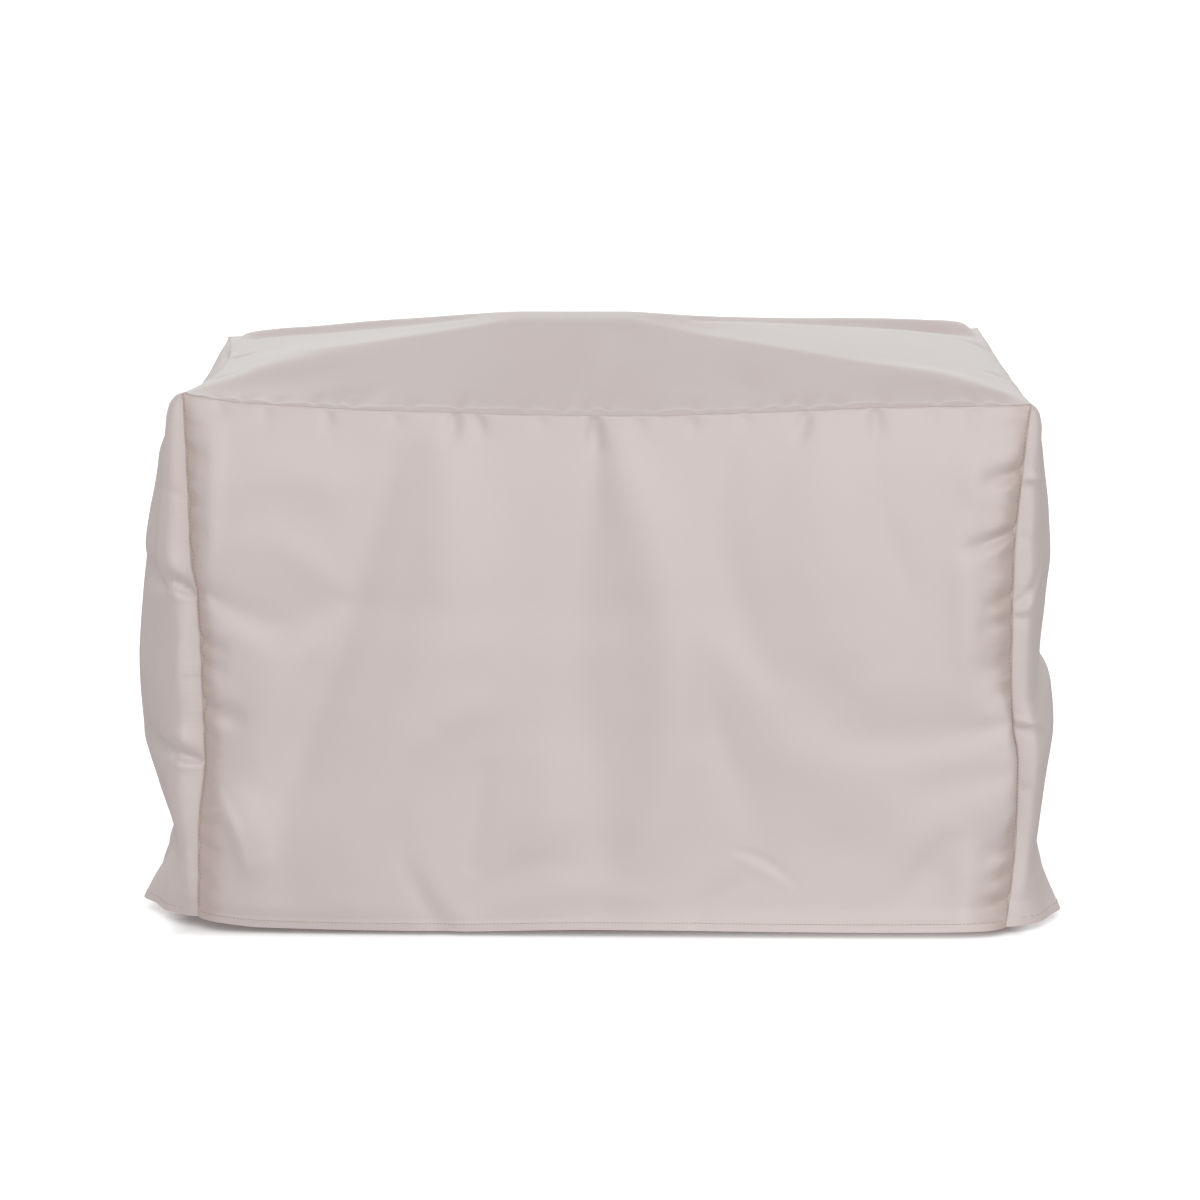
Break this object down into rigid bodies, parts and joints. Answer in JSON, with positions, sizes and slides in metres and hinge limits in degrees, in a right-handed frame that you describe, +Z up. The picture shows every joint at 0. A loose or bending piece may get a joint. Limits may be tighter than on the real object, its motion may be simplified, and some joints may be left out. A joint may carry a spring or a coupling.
{
  "type": "outdoor bar cover",
  "caption": "Fitted weather cover of coated woven cloth for an outdoor bar: tented top panel, wall panels that belly out, and an open, hemmed bottom.",
  "frame": {"origin": "middle of the cover's box in plan, at the lowest point of the hem", "axes": "+X to the right along the front panel, +Y from the front panel to the back panel, +Z up"},
  "size_m": [1.6294, 0.7944, 1.0064],
  "materials": {
    "cover_cloth": "pale warm grey woven polyester with a water-resistant coating and a soft sheen",
    "sewing_thread": "light tan polyester thread"
  },
  "bodies": {
    "root": {"front_panel": "cover_cloth", "right_panel": "cover_cloth", "back_panel": "cover_cloth", "left_panel": "cover_cloth", "top_panel": "cover_cloth"}
  },
  "joints": []
}
